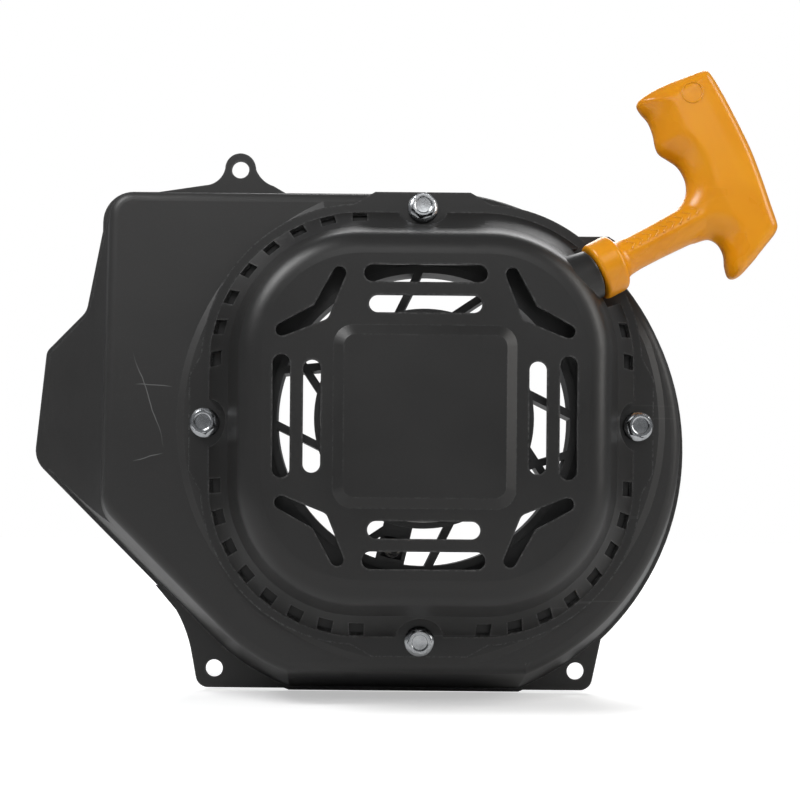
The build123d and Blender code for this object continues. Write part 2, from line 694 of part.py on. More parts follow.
pawl_a = pawl_solid(0)
pawl_a.label = "pawl_a"
pawl_b = pawl_solid(180)
pawl_b.label = "pawl_b"

with BuildPart() as pawl_pins:
    with BuildSketch(front(60.2)):
        with PolarLocations(PAWL_PIVOT_R, 2):
            Circle(PAWL_PIN_R - 0.02)
    extrude(amount=7.2)
pawl_pins.part.label = "pawl_pins"

with BuildPart() as pawl_springs:
    for side in (1, -1):
        centre = at(side * PAWL_PIVOT_R, 64.5, 0)
        with BuildLine() as coil:
            Helix(pitch=0.95, height=1.7, radius=5.4, center=centre, direction=(0, -1, 0))
        with BuildSketch(Plane(origin=coil.wires()[0] @ 0, z_dir=coil.wires()[0] % 0)):
            Circle(0.4)
        sweep()
pawl_springs.part.label = "pawl_springs"

# ---- guide plate: its cam slots lead the pawls' followers ----

def cam_point(share):
    """Follower centre in the plate's frame when the plate has turned by this share."""
    angle = PAWL_LEAN + PAWL_SWING * share
    x = PAWL_PIVOT_R + PAWL_FOLLOWER * cos(radians(angle))
    z = PAWL_FOLLOWER * sin(radians(angle))
    turn = radians(-PLATE_TURN * share)
    return (x * cos(turn) - z * sin(turn), x * sin(turn) + z * cos(turn))


with BuildSketch() as cam_slot:
    with BuildLine():
        Spline(*[cam_point(i / 8) for i in range(9)])
    trace(line_width=CAM_SLOT_W)
    with Locations(cam_point(0), cam_point(1)):
        Circle(CAM_SLOT_W / 2)

with BuildPart() as guide_plate:
    with BuildSketch(front(PLATE_BACK)):
        Circle(PLATE_R)
        Circle(PLATE_BUSH_R + 0.06, mode=Mode.SUBTRACT)
        with PolarLocations(0, 2):
            add(cam_slot.sketch, mode=Mode.SUBTRACT)
        with PolarLocations(26, 2, start_angle=90):
            SlotOverall(22, 9, rotation=90, mode=Mode.SUBTRACT)
    extrude(amount=PLATE_T)
guide_plate.part.label = "guide_plate"

with BuildPart() as friction_spring:
    with BuildSketch(Plane(origin=at(0, 0, 0))):
        Polygon((8.6, -56.1), (14.5, -57.0), (14.5, -57.6), (8.6, -56.7), align=None)
    revolve(axis=Axis(at(0, 0, 0), (0, 1, 0)))
friction_spring.part.label = "friction_spring"

# ---- centre stack: flanged bush, thrust washer and the bolt into the post ----
STACK_BACK = 54.5  # seat of the bolt's washer face
BUSH_FLANGE_T = 1.5
CENTRE_HOLE_R = 4.1
THRUST_DEPTH = 60.0
CENTRE_HEX_HALF = 6.5
CENTRE_FLANGE_R, CENTRE_FLANGE_T = 8.5, 1.5

with BuildPart() as plate_bush:
    with BuildSketch(front(STACK_BACK)):
        Circle(15)
    extrude(amount=BUSH_FLANGE_T)
    with BuildSketch(front(STACK_BACK + BUSH_FLANGE_T)):
        Circle(PLATE_BUSH_R)
    extrude(amount=THRUST_DEPTH - STACK_BACK - BUSH_FLANGE_T)
    with BuildSketch(front(STACK_BACK)):
        Circle(CENTRE_HOLE_R)
    extrude(amount=6, mode=Mode.SUBTRACT)
plate_bush.part.label = "plate_bush"

with BuildPart() as thrust_washer:
    with BuildSketch(front(THRUST_DEPTH)):
        Circle(16)
        Circle(CENTRE_HOLE_R, mode=Mode.SUBTRACT)
    extrude(amount=POST_END - THRUST_DEPTH)
thrust_washer.part.label = "thrust_washer"

with BuildPart() as centre_bolt:
    with BuildSketch(front(STACK_BACK - CENTRE_FLANGE_T)):
        Circle(CENTRE_FLANGE_R)
    extrude(amount=CENTRE_FLANGE_T)
    with BuildSketch(front(STACK_BACK - CENTRE_FLANGE_T)):
        RegularPolygon(CENTRE_HEX_HALF, 6, major_radius=False)
    extrude(amount=-5)
    with BuildSketch(front(STACK_BACK)):
        Circle(CENTRE_TAP_R - 0.05)
    extrude(amount=21)
centre_bolt.part.label = "centre_bolt"

# ---- write one STEP file per piece ----
os.makedirs("parts", exist_ok=True)
export_step(fan_case.part, "parts/fan_case.step")
export_step(recoil_cover.part, "parts/recoil_cover.step")
export_step(cover_bolts.part, "parts/cover_bolts.step")
export_step(weld_nuts.part, "parts/weld_nuts.step")
export_step(reel_post.part, "parts/reel_post.step")
export_step(reel.part, "parts/reel.step")
export_step(reel_bush.part, "parts/reel_bush.step")
export_step(spring_retainer.part, "parts/spring_retainer.step")
export_step(recoil_spring.part, "parts/recoil_spring.step")
export_step(rope_coil.part, "parts/rope_coil.step")
export_step(reel_knot.part, "parts/reel_knot.step")
export_step(starter_rope.part, "parts/starter_rope.step")
export_step(rope_guide.part, "parts/rope_guide.step")
export_step(handle_grip.part, "parts/handle_grip.step")
export_step(handle_washer.part, "parts/handle_washer.step")
export_step(handle_knot.part, "parts/handle_knot.step")
export_step(pawl_a, "parts/pawl_a.step")
export_step(pawl_b, "parts/pawl_b.step")
export_step(pawl_pins.part, "parts/pawl_pins.step")
export_step(pawl_springs.part, "parts/pawl_springs.step")
export_step(guide_plate.part, "parts/guide_plate.step")
export_step(friction_spring.part, "parts/friction_spring.step")
export_step(plate_bush.part, "parts/plate_bush.step")
export_step(thrust_washer.part, "parts/thrust_washer.step")
export_step(centre_bolt.part, "parts/centre_bolt.step")
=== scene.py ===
import json
import math

import bmesh
import bpy
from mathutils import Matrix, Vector
from mathutils.bvhtree import BVHTree
from mathutils.kdtree import KDTree


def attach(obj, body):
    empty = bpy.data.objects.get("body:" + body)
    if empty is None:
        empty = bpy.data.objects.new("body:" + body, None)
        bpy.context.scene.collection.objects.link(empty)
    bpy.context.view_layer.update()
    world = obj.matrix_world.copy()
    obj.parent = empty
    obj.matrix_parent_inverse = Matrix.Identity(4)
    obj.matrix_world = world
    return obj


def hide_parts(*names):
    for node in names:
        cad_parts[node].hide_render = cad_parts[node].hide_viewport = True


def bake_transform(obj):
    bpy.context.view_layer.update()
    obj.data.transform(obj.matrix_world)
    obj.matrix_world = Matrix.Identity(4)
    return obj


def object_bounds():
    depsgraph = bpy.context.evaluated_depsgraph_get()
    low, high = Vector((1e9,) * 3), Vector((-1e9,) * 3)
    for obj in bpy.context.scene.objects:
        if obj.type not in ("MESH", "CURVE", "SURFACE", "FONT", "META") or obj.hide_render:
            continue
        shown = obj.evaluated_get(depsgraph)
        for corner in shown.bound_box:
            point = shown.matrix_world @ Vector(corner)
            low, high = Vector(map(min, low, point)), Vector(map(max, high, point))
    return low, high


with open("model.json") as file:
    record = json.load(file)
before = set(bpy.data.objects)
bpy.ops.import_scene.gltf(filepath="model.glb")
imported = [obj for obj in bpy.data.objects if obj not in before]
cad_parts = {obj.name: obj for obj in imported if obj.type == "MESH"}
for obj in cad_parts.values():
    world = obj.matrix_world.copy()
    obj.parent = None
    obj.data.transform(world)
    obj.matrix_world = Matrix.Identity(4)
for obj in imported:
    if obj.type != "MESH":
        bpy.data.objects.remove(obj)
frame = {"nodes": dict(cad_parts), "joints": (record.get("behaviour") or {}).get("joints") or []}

CAD_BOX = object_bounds()
MM = 0.001

# ---- places, in metres, in the CAD frame ----
JOINTS = {joint["name"]: joint for joint in frame["joints"]}
REEL = Vector(JOINTS["reel_spin"]["pos_m"])
AXIS = Vector((REEL.x, 0, REEL.z))  # where the reel's axis meets the plane of the ears
PULL_ANGLE = math.radians(28)
ROPE_DEPTH = 0.072
OUTLET = AXIS + Vector((0.0772, -ROPE_DEPTH, 0.0675))  # where the rope leaves the guide
ALONG = Vector((math.cos(PULL_ANGLE), 0, math.sin(PULL_ANGLE)))
ACROSS = Vector((-math.sin(PULL_ANGLE), 0, math.cos(PULL_ANGLE)))
OUT = Vector((0, -1, 0))
BOLT_CIRCLE = 0.1015
COVER_SEAT = 0.0555


# ---- node material helpers ----
class Mat:
    """A node tree with short calls for the nodes this scene uses."""

    def __init__(self, name, **values):
        self.mat = bpy.data.materials.new(name)
        self.mat.use_nodes = True
        self.tree = self.mat.node_tree
        self.bsdf = self.tree.nodes["Principled BSDF"]
        for key, value in values.items():
            self.bsdf.inputs[key.replace("_", " ")].default_value = value
        self.place = self.new("ShaderNodeTexCoord").outputs["Object"]

    def new(self, kind, **props):
        node = self.tree.nodes.new(kind)
        for key, value in props.items():
            setattr(node, key, value)
        return node

    def put(self, socket, value):
        if isinstance(value, bpy.types.NodeSocket):
            self.tree.links.new(value, socket)
        else:
            socket.default_value = value

    def math(self, op, a, b=0.0):
        node = self.new("ShaderNodeMath", operation=op)
        self.put(node.inputs[0], a)
        self.put(node.inputs[1], b)
        return node.outputs[0]

    def noise(self, scale, detail=3.0, rough=0.55, stretch=None, distortion=0.0):
        node = self.new("ShaderNodeTexNoise")
        where = self.place
        if stretch:
            bend = self.new("ShaderNodeMapping")
            bend.inputs["Scale"].default_value = stretch
            self.put(bend.inputs["Vector"], where)
            where = bend.outputs[0]
        self.put(node.inputs["Vector"], where)
        self.put(node.inputs["Scale"], scale)
        self.put(node.inputs["Detail"], detail)
        self.put(node.inputs["Roughness"], rough)
        self.put(node.inputs["Distortion"], distortion)
        return node.outputs["Fac"]

    def ramp(self, fac, low, high, a=0.0, b=1.0):
        node = self.new("ShaderNodeMapRange", clamp=True)
        self.put(node.inputs["Value"], fac)
        for key, value in (("From Min", low), ("From Max", high), ("To Min", a), ("To Max", b)):
            self.put(node.inputs[key], value)
        return node.outputs[0]

    def mix(self, fac, a, b):
        node = self.new("ShaderNodeMix", data_type="RGBA")
        self.put(node.inputs[0], fac)
        self.put(node.inputs[6], a)
        self.put(node.inputs[7], b)
        return node.outputs[2]

    def bump(self, height, distance, strength):
        node = self.new("ShaderNodeBump")
        self.put(node.inputs["Height"], height)
        self.put(node.inputs["Distance"], distance)
        self.put(node.inputs["Strength"], strength)
        return node.outputs[0]

    def edges(self, radius, low, high):
        """Mask that is bright where the surface turns sharply."""
        bevel = self.new("ShaderNodeBevel", samples=4)
        bevel.inputs["Radius"].default_value = radius
        flat = self.new("ShaderNodeNewGeometry").outputs["Normal"]
        dot = self.new("ShaderNodeVectorMath", operation="DOT_PRODUCT")
        self.put(dot.inputs[0], bevel.outputs[0])
        self.put(dot.inputs[1], flat)
        turn = self.math("SUBTRACT", 1.0, dot.outputs["Value"])
        return self.ramp(turn, low, high)

    def set(self, **links):
        for key, value in links.items():
            self.put(self.bsdf.inputs[key.replace("_", " ")], value)


def grey(value, warm=0.0):
    return (value * (1 + warm), value, value * (1 - warm), 1)


def scratch_mask(m, marks):
    """Fine arcs scored on the front; a mark is centre x, z, radius, low and high x, in mm from the axis."""
    split = m.new("ShaderNodeSeparateXYZ")
    m.put(split.inputs[0], m.place)
    wobble = m.math("MULTIPLY", m.math("SUBTRACT", m.noise(60, 2), 0.5), 0.003)
    total = 0.0
    for cx, cz, radius, low, high in marks:
        dx = m.math("SUBTRACT", split.outputs["X"], AXIS.x + cx * MM)
        dz = m.math("SUBTRACT", split.outputs["Z"], AXIS.z + cz * MM)
        far = m.math("SQRT", m.math("ADD", m.math("MULTIPLY", dx, dx), m.math("MULTIPLY", dz, dz)))
        gap = m.math("ABSOLUTE", m.math("ADD", m.math("SUBTRACT", far, radius * MM), wobble))
        line = m.ramp(gap, 0.00010, 0.00028, 1.0, 0.0)
        start, end = AXIS.x + low * MM, AXIS.x + high * MM
        fade = 4 * MM
        inside = m.math("MULTIPLY", m.ramp(split.outputs["X"], start, start + fade),
                        m.ramp(split.outputs["X"], end - fade, end, 1.0, 0.0))
        total = m.math("MAXIMUM", total, m.math("MULTIPLY", line, inside))
    facing = m.new("ShaderNodeSeparateXYZ")
    m.put(facing.inputs[0], m.new("ShaderNodeNewGeometry").outputs["Normal"])
    front = m.ramp(facing.outputs["Y"], -0.95, -0.8, 1.0, 0.0)
    return m.math("MULTIPLY", total, front)


def paint(name, tone, rough, marks=()):
    """Satin black enamel on pressed steel, with worn edges that partly carry a painted highlight, painted
    sheen streaks, dust and handling marks.
    """
    m = Mat(name)
    cloud = m.noise(14, 5, 0.6)
    grain = m.noise(900, 3, 0.6)
    peel = m.noise(330, 2, 0.5)
    speck = m.ramp(m.noise(1500, 2, 0.7), 0.60, 0.74)
    # Edge wear and painted highlight: sharp turns of the sheet are lightened in speckles.
    wear_and_edge_highlight = m.math("MULTIPLY", m.edges(0.0016, 0.01, 0.16), m.ramp(m.noise(520, 4, 0.75), 0.42, 0.66))
    rub = m.math("MULTIPLY", m.ramp(m.noise(7, 4, 0.7, (1, 1, 3)), 0.56, 0.78), m.ramp(grain, 0.45, 0.7))
    # Painted sheen: thin lighter streaks stand in for glossy streaks on the paint.
    sheen_streaks = m.math("MULTIPLY", m.ramp(m.noise(5, 1, 0.4), 0.5, 0.6),
                   m.ramp(m.noise(60, 2, 0.5, (0.12, 1, 6), 0.6), 0.70, 0.73))
    colour = m.mix(cloud, grey(tone * 0.86, 0.03), grey(tone * 1.18, 0.02))
    colour = m.mix(m.math("MULTIPLY", speck, 0.35), colour, grey(tone * 2.4))
    colour = m.mix(m.math("MULTIPLY", rub, 0.22), colour, grey(tone * 3.0))
    colour = m.mix(m.math("MULTIPLY", sheen_streaks, 0.20), colour, grey(0.12))
    colour = m.mix(m.math("MULTIPLY", wear_and_edge_highlight, 0.55), colour, grey(0.19))
    gloss = m.ramp(cloud, 0.3, 0.7, rough - 0.05, rough + 0.08)
    gloss = m.math("ADD", gloss, m.math("MULTIPLY", grain, 0.06))
    if marks:
        mask = scratch_mask(m, marks)
        colour = m.mix(m.math("MULTIPLY", mask, 0.7), colour, grey(0.17))
    height = m.math("ADD", m.math("MULTIPLY", peel, 0.7), m.math("MULTIPLY", grain, 0.3))
    m.set(Base_Color=colour, Roughness=gloss, Normal=m.bump(height, 0.00010, 0.55))
    m.set(Coat_Weight=0.06, Coat_Roughness=0.32, Specular_IOR_Level=0.42)
    return m.mat


def metal(name, tone, rough, tint=(1, 1, 1), streak=(1, 1, 1), rust=0.0):
    """Bare or plated steel with fine lines, dark mottling and lighter edges."""
    m = Mat(name, Metallic=1.0)
    lines = m.noise(240, 4, 0.7, streak)
    mottle = m.noise(55, 4, 0.6)
    fine = m.noise(1400, 2, 0.6)
    base = tuple(tone * t for t in tint) + (1,)
    dark = tuple(tone * 0.62 * t for t in tint) + (1,)
    colour = m.mix(m.ramp(lines, 0.3, 0.7), dark, base)
    colour = m.mix(m.math("MULTIPLY", m.ramp(mottle, 0.55, 0.8), 0.35), colour, grey(tone * 0.5, 0.05))
    if rust:
        spots = m.math("MULTIPLY", m.ramp(m.noise(120, 5, 0.7), 0.62, 0.72), rust)
        colour = m.mix(spots, colour, (0.10, 0.045, 0.02, 1))
    bright = tuple(min(1, tone * 1.35 * t) for t in tint) + (1,)
    colour = m.mix(m.math("MULTIPLY", m.edges(0.0006, 0.02, 0.3), 0.4), colour, bright)
    m.set(Base_Color=colour, Roughness=m.ramp(mottle, 0.3, 0.7, rough - 0.06, rough + 0.12))
    m.set(Normal=m.bump(m.math("ADD", lines, m.math("MULTIPLY", fine, 0.4)), 0.00006, 0.5))
    return m.mat


def nylon(name, tone):
    """Black glass-filled nylon: matt, with flow marks and scuffed edges."""
    m = Mat(name)
    flow = m.noise(30, 5, 0.6, (1, 3, 1), 0.5)
    fibre = m.noise(700, 3, 0.7, (1, 1, 4))
    scuff = m.math("MULTIPLY", m.edges(0.0008, 0.03, 0.3), m.ramp(fibre, 0.4, 0.65))
    colour = m.mix(flow, grey(tone * 0.7), grey(tone * 1.5))
    colour = m.mix(m.math("MULTIPLY", scuff, 0.5), colour, grey(0.11))
    m.set(Base_Color=colour, Roughness=m.ramp(flow, 0.3, 0.7, 0.38, 0.55))
    m.set(Normal=m.bump(fibre, 0.00008, 0.6))
    return m.mat


def handle_plastic():
    """Glossy orange moulding with slight flow shades, handling scratches and dust."""
    m = Mat("handle_orange", IOR=1.5)
    flow = m.noise(22, 4, 0.5, None, 0.8)
    fine = m.noise(900, 2, 0.5)
    hair = m.ramp(m.noise(45, 2, 0.4, (0.2, 1, 7), 1.2), 0.71, 0.74)
    dust = m.ramp(m.noise(260, 4, 0.8), 0.66, 0.8)
    colour = m.mix(m.ramp(flow, 0.3, 0.7), (0.71, 0.255, 0.004, 1), (0.81, 0.33, 0.006, 1))
    colour = m.mix(m.math("MULTIPLY", dust, 0.10), colour, (0.55, 0.30, 0.08, 1))
    gloss = m.math("ADD", m.ramp(flow, 0.3, 0.7, 0.24, 0.33), m.math("MULTIPLY", hair, 0.12))
    height = m.math("SUBTRACT", m.math("MULTIPLY", fine, 0.4), m.math("MULTIPLY", hair, 0.5))
    m.set(Base_Color=colour, Roughness=gloss, Normal=m.bump(height, 0.00006, 0.5))
    m.set(Subsurface_Weight=0.12, Subsurface_Radius=(0.004, 0.0015, 0.0004), Subsurface_Scale=1.0)
    m.set(Coat_Weight=0.04, Coat_Roughness=0.18, Specular_IOR_Level=0.38)
    return m.mat


def braid(name, run):
    """Braided cord. On the straight run the strands follow the pull line; else they cross at an angle."""
    m = Mat(name)
    if run:
        shifted = m.new("ShaderNodeVectorMath", operation="SUBTRACT")
        m.put(shifted.inputs[0], m.place)
        shifted.inputs[1].default_value = OUTLET

        def dot(axis):
            node = m.new("ShaderNodeVectorMath", operation="DOT_PRODUCT")
            m.put(node.inputs[0], shifted.outputs[0])
            node.inputs[1].default_value = axis
            return node.outputs["Value"]

        lay = m.math("MULTIPLY", dot(ALONG), 1500)
        turn = m.math("MULTIPLY", m.math("ARCTAN2", dot(ACROSS), dot(OUT)), 4)
        one = m.math("SINE", m.math("ADD", lay, turn))
        two = m.math("SINE", m.math("SUBTRACT", lay, turn))
        weave = m.math("MAXIMUM", one, two)
    else:
        weave = m.ramp(m.noise(620, 2, 0.4), 0.3, 0.7, -1.0, 1.0)
    fuzz = m.noise(2600, 2, 0.6)
    fleck = m.ramp(m.noise(420, 1, 0.4), 0.60, 0.66)
    colour = m.mix(m.ramp(weave, -0.6, 1.0), grey(0.012), grey(0.075))
    colour = m.mix(m.math("MULTIPLY", fleck, 0.5), colour, (0.45, 0.42, 0.36, 1))
    height = m.math("ADD", weave, m.math("MULTIPLY", fuzz, 0.3))
    m.set(Base_Color=colour, Roughness=0.8, Normal=m.bump(height, 0.00030, 0.9))
    m.set(Sheen_Weight=0.3)
    return m.mat


# ---- mesh helpers ----
def link(name, mesh, material, body, smooth):
    """Makes a piece of the mesh; it rides on the body, if one is given."""
    obj = bpy.data.objects.new(name, mesh)
    bpy.context.scene.collection.objects.link(obj)
    mesh.materials.clear()
    mesh.materials.append(material)
    shade(mesh, smooth)
    if body:
        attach(obj, body)
    return obj


def shade(mesh, angle):
    """Smooth shading that breaks at edges sharper than the angle."""
    bm = bmesh.new()
    bm.from_mesh(mesh)
    for face in bm.faces:
        face.smooth = True
    limit = math.radians(angle)
    for edge in bm.edges:
        edge.smooth = not (edge.is_manifold and edge.calc_face_angle(0) > limit)
    bm.to_mesh(mesh)
    bm.free()


def turned(bm, profile, centre, axis, side, steps, radius_at=None):
    """Turns a closed profile of (height, radius) round an axis; adds it to bm."""
    other = axis.cross(side)
    rings = []
    for height, radius in profile:
        ring = []
        for k in range(steps):
            a = 2 * math.pi * k / steps
            r = radius_at(height, radius, a) if radius_at else radius
            place = centre + axis * height + side * (r * math.cos(a)) + other * (r * math.sin(a))
            ring.append(bm.verts.new(place))
        rings.append(ring)
    for low, high in zip(rings, rings[1:]):
        for k in range(steps):
            j = (k + 1) % steps
            bm.faces.new((low[k], low[j], high[j], high[k]))
    for ring, flip in ((rings[0], True), (rings[-1], False)):
        bm.faces.new(ring[::-1] if flip else ring)


def finish_bm(bm, name):
    bmesh.ops.recalc_face_normals(bm, faces=bm.faces)
    mesh = bpy.data.meshes.new(name)
    bm.to_mesh(mesh)
    bm.free()
    return mesh


def evaluated(obj):
    """Mesh with the object's modifiers applied; the object is removed."""
    bpy.context.view_layer.update()
    mesh = bpy.data.meshes.new_from_object(obj.evaluated_get(bpy.context.evaluated_depsgraph_get()))
    data = obj.data
    bpy.data.objects.remove(obj)
    if isinstance(data, bpy.types.Curve):
        bpy.data.curves.remove(data)
    return mesh


# ---- cover bolts: hexagon on a flange, with a dished head and a thread ----
def hexagon(flat):
    """Radius of a hexagon with this half-width across flats, with corners slightly eased."""
    def radius_at(_height, radius, angle):
        local = (angle + math.pi / 6) % (math.pi / 3) - math.pi / 6
        return min(radius, flat / math.cos(local))
    return radius_at


BOLT_TWISTS = (14, 47, 8, 33)  # degrees each hexagon is turned
BOLT_FLANGE = [
    (0.0, 0.0028), (0.0, 0.0066), (0.0003, 0.00695), (0.0009, 0.0070), (0.0012, 0.0068),
    (0.0020, 0.0058), (0.0024, 0.0050), (0.0024, 0.0030)]  # height and radius
BOLT_HEAD = [
    (0.0019, 0.0030), (0.0019, 0.00577), (0.0055, 0.00577), (0.0059, 0.00545), (0.0062, 0.0050),
    (0.0062, 0.0042), (0.0059, 0.0037), (0.0053, 0.0034), (0.0052, 0.0012)]
BOLT_HEX = 0.0050  # half the width across flats
THREAD_R, THREAD_PITCH, THREAD_CUT = 0.00295, 0.001, 0.0003
THREAD_TIP, THREAD_START, THREAD_END = -0.0128, -0.0124, -0.0004


def thread_profile():
    thread = [(THREAD_TIP, 0.0022)]
    height = THREAD_START
    while height < THREAD_END:
        thread += [(height, THREAD_R - THREAD_CUT), (height + THREAD_PITCH / 2, THREAD_R)]
        height += THREAD_PITCH
    thread.append((0.0, THREAD_R))
    return thread


def bolt_mesh(turn):
    """One cover bolt; turn counts quarters round the cover."""
    bm = bmesh.new()
    angle = turn * math.pi / 2
    centre = AXIS + Vector((BOLT_CIRCLE * math.cos(angle), -COVER_SEAT, BOLT_CIRCLE * math.sin(angle)))
    twist = math.radians(BOLT_TWISTS[turn])
    side = Vector((math.cos(twist), 0, math.sin(twist)))
    turned(bm, BOLT_FLANGE, centre, OUT, side, 72)
    turned(bm, BOLT_HEAD, centre, OUT, side, 96, hexagon(BOLT_HEX))
    turned(bm, thread_profile(), centre, OUT, side, 40)
    return finish_bm(bm, f"cover_bolt_{turn}")


def make_bolts(material):
    for turn in range(4):
        mesh = bolt_mesh(turn)
        piece = link(mesh.name, mesh, material, "housing", 28)
        if turn == 0:
            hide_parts("cover_bolts")


# ---- handle: T grip, stem and collar fused into one moulding ----
def pull_point(s, t, front=0.0):
    """Point from distances in mm: along the pull, across it, and towards the front."""
    return OUTLET + ALONG * (s * MM) + ACROSS * (t * MM) + OUT * (front * MM)


# Silhouette of the arm, running a little way into the stem.
GRIP_OUTLINE = [
    (85.6, 4), (87.0, 16), (87.5, 29), (87.5, 43.5), (86.8, 54.5), (84.6, 58.2), (76, 59.6), (66.5, 60.9),
    (57, 60.8), (52.2, 59.2), (52.0, 55), (53.2, 50), (52.6, 44), (51.0, 38.5), (51.0, 34.5), (53.6, 30),
    (55.9, 25.5), (56.2, 19.5), (54.2, 14), (50.5, 10.4), (46.5, 8.8), (42, 7.4), (36, 6), (36, -6),
    (42, -7.4), (46.5, -8.8), (52.5, -10.0), (55.6, -13.5), (56.2, -19), (54.2, -25), (53.6, -29.6),
    (56.2, -31.6), (63, -29.4), (73, -25.0), (80.2, -21.6), (82.2, -17.5), (83.6, -9)]
GRIP_HALF = 10.8  # mm, half thickness at the crease
CREASE_S = 63.4  # where the crease runs on the arm's face
EDGE_OUTER, EDGE_INNER, EDGE_END = 6.0, 11.0, 4.5  # mm, how far the rounding reaches in from each edge
INNER_FROM, INNER_OVER = 80, 14  # where the rounding turns from outer to inner, along the pull
END_FROM, END_OVER = -14, 9  # where it turns to the lower end's, across the pull
FACE_FALL = 0.017  # share of the height lost per mm inside the crease
THIN_ENDS, THIN_MIDDLE, THIN_REACH = 0.05, 14, 44  # thinning towards both ends of the arm
OUTER_FALL, OUTER_FROM, OUTER_POWER = 0.0030, 76, 1.5
STEM_RIDGE = 0.35  # mm, how far the stem's crest stands over its round section
COLLAR = [(0.1, 2.6), (0.1, 12.2), (0.9, 13.1), (9.4, 13.1), (10.6, 12.6), (11.3, 11.4), (11.3, 6.0)]
STEM = [
    (9.5, 4.0), (9.5, 10.6), (11.4, 10.2), (12.6, 9.2), (14.5, 8.3), (20, 7.8), (30, 7.8), (42, 8.2),
    (50, 8.6), (56, 8.4), (61, 6.8), (63.6, 4.2), (64.6, 1.0)]
SLAB_VOXEL, SKIN_VOXEL = 0.8, 0.55  # mm


def smooth_loop(points, per=6):
    """Closed Catmull-Rom curve through the points."""
    out = []
    n = len(points)
    for i in range(n):
        p0, p1, p2, p3 = (Vector(points[(i + k) % n]) for k in (-1, 0, 1, 2))
        for j in range(per):
            u = j / per
            out.append(0.5 * ((2 * p1) + (p2 - p0) * u + (2 * p0 - 5 * p1 + 4 * p2 - p3) * u * u
                              + (3 * p1 - p0 - 3 * p2 + p3) * u ** 3))
    return out


def grip_slab():
    """Flat slab of the arm's outline, from a filled curve in local mm, with an even skin."""
    curve = bpy.data.curves.new("grip_curve", "CURVE")
    curve.dimensions = "2D"
    curve.fill_mode = "BOTH"
    curve.extrude = GRIP_HALF
    spline = curve.splines.new("POLY")
    points = smooth_loop(GRIP_OUTLINE)
    spline.points.add(len(points) - 1)
    for place, point in zip(spline.points, points):
        place.co = (point.x, point.y, 0, 1)
    spline.use_cyclic_u = True
    obj = bpy.data.objects.new("grip_curve", curve)
    bpy.context.scene.collection.objects.link(obj)
    flat = evaluated(obj)
    bm = bmesh.new()
    bm.from_mesh(flat)
    bpy.data.meshes.remove(flat)
    bmesh.ops.remove_doubles(bm, verts=bm.verts, dist=0.001)
    return fused(bm, "grip_slab", SLAB_VOXEL, 0)


def unit(value):
    return min(max(value, 0.0), 1.0)


def shape_arm(co, edge):
    """Gives a point of the slab its height: round towards the edges, highest along the crease."""
    s, t, f = co
    inner, end = unit((INNER_FROM - s) / INNER_OVER), unit((END_FROM - t) / END_OVER)
    reach = (EDGE_OUTER + (EDGE_INNER - EDGE_OUTER) * inner) * (1 - end) + EDGE_END * end
    height = math.sqrt(1 - (1 - unit(edge / reach)) ** 2)
    height *= 1 - FACE_FALL * max(0.0, CREASE_S - s)
    height *= 1 - THIN_ENDS * ((t - THIN_MIDDLE) / THIN_REACH) ** 2
    height *= 1 - OUTER_FALL * max(0.0, s - OUTER_FROM) ** OUTER_POWER
    return Vector((s, t, f * height))


def arm_mesh():
    """Arm of the T with its rounded faces, in local mm."""
    mesh = grip_slab()
    line = smooth_loop(GRIP_OUTLINE, 24)
    tree = KDTree(len(line))
    for i, point in enumerate(line):
        tree.insert((point.x, point.y, 0), i)
    tree.balance()
    for vert in mesh.vertices:
        edge = tree.find((vert.co.x, vert.co.y, 0))[2]
        vert.co = shape_arm(vert.co, edge)
    return mesh


def stem_section(_height, radius, angle):
    """Round section with a soft crest at the front and the back."""
    return radius + STEM_RIDGE * abs(math.sin(angle)) ** 24


def fused(bm, name, voxel, rounds):
    """The parts in bm joined into one skin, in local mm."""
    mesh = finish_bm(bm, name)
    obj = bpy.data.objects.new(name, mesh)
    bpy.context.scene.collection.objects.link(obj)
    remesh = obj.modifiers.new("fuse", "REMESH")
    remesh.mode = "VOXEL"
    remesh.voxel_size = voxel
    soften = obj.modifiers.new("soften", "SMOOTH")
    soften.factor = 0.5
    soften.iterations = rounds
    return evaluated(obj)


def handle_skin():
    """Skin of the T handle in local mm: arm, stem and collar in one moulding."""
    arm = arm_mesh()
    bm = bmesh.new()
    bm.from_mesh(arm)
    bpy.data.meshes.remove(arm)
    x, y = Vector((1, 0, 0)), Vector((0, 1, 0))
    zero = Vector((0, 0, 0))
    turned(bm, COLLAR, zero, x, y, 72)
    turned(bm, STEM, zero, x, y, 96, stem_section)
    return fused(bm, "handle_body", SKIN_VOXEL, 6)


def bar(bm, start, end, width, height):
    """Rounded raised bar between two points on the handle's face, in local mm."""
    a, b = Vector(start), Vector(end)
    run = (b - a).normalized()
    side = Vector((-run.y, run.x, 0))
    rings = []
    for along, scale in ((-0.45, 0.25), (-0.3, 0.7), (0.0, 1.0), (1.0, 1.0), (1.3, 0.7), (1.45, 0.25)):
        base = a.lerp(b, min(max(along, 0), 1)) + run * ((along if along < 0 else max(0, along - 1)) * width)
        ring = []
        for k in range(9):
            u = math.pi * k / 8
            lift = Vector((0, 0, height * math.sin(u) * scale - 0.5 * (k in (0, 8))))
            ring.append(bm.verts.new(base + side * (width / 2 * math.cos(u) * scale) + lift))
        rings.append(ring)
    for low, high in zip(rings, rings[1:]):
        for k in range(8):
            bm.faces.new((low[k], low[k + 1], high[k + 1], high[k]))
        bm.faces.new((low[8], low[0], high[0], high[8]))
    bm.faces.new(rings[0])
    bm.faces.new(rings[-1][::-1])


CHEVRONS, CHEVRON_STEP, CHEVRON_START = 9, 4.0, 17.5  # mm along the stem
CHEVRON_W, CHEVRON_H = 0.8, 0.32
RING_PLACE, RING_R, RING_TUBE = (72.4, 50.0), 4.6, 0.36


